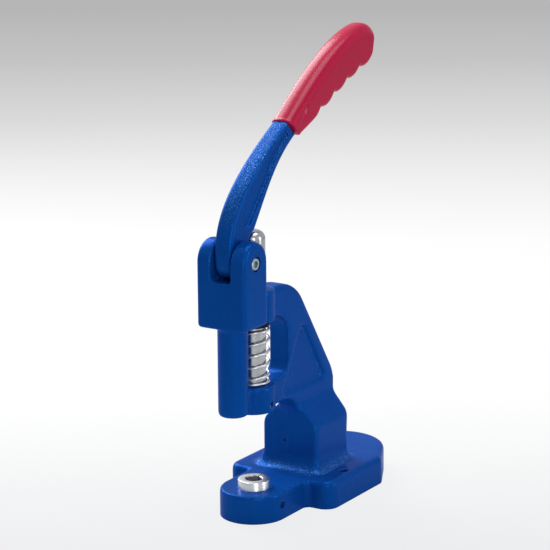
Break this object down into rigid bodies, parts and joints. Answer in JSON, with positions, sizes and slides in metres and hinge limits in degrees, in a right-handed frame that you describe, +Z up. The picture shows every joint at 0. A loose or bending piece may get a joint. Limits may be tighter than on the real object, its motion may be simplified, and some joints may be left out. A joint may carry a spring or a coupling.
{
  "type": "hand eyelet press",
  "caption": "Bench press of cast metal for setting eyelets by hand: a lever with a moulded grip pushes a sprung ram down towards a split die holder in the base.",
  "frame": {"origin": "on the ram's axis, in the plane of the base's underside", "axes": "+Z up along the ram's axis, -Y to the front where the base's lobe and the fork head point, +X to the operator's right seen from the front, where the clamp screw's hole is"},
  "size_m": [0.1, 0.2184, 0.378],
  "materials": {
    "blue_enamel": "glossy blue enamel over a slightly rough casting",
    "red_grip": "soft glossy red moulding",
    "bright_steel": "bright turned steel",
    "dark_steel": "blackened steel",
    "bronze": "plain bearing bronze"
  },
  "bodies": {
    "stand": {"frame": "blue_enamel", "pivot_screw": "dark_steel", "pivot_nut": "dark_steel", "thrust_washer_right": "bright_steel", "thrust_washer_left": "bright_steel", "return_spring": "bright_steel", "die_holder_ring": "bright_steel", "die_clamp_screw": "dark_steel"},
    "lever": {"lever": "blue_enamel", "lever_bush": "bronze", "lever_grip": "red_grip"},
    "ram": {"ram": "bright_steel", "ram_collar": "dark_steel", "collar_ring": "dark_steel", "upper_die_screw": "dark_steel"}
  },
  "joints": [
    {"name": "lever_hinge", "type": "hinge", "parent": "stand", "child": "lever", "pos_m": [0, -0.028, 0.2133], "axis": [-1, 0, 0], "range_deg": [0, 60]},
    {"name": "ram_slide", "type": "slide", "parent": "stand", "child": "ram", "axis": [0, 0, -1], "range_m": [0, 0.0282], "stiffness_N_per_m": 3300, "springref_m": -0.015, "deforming": ["return_spring"]}
  ],
  "couplings": [
    {"joint": "lever_hinge", "follows": "ram_slide", "rad_per_m": 37.13}
  ]
}
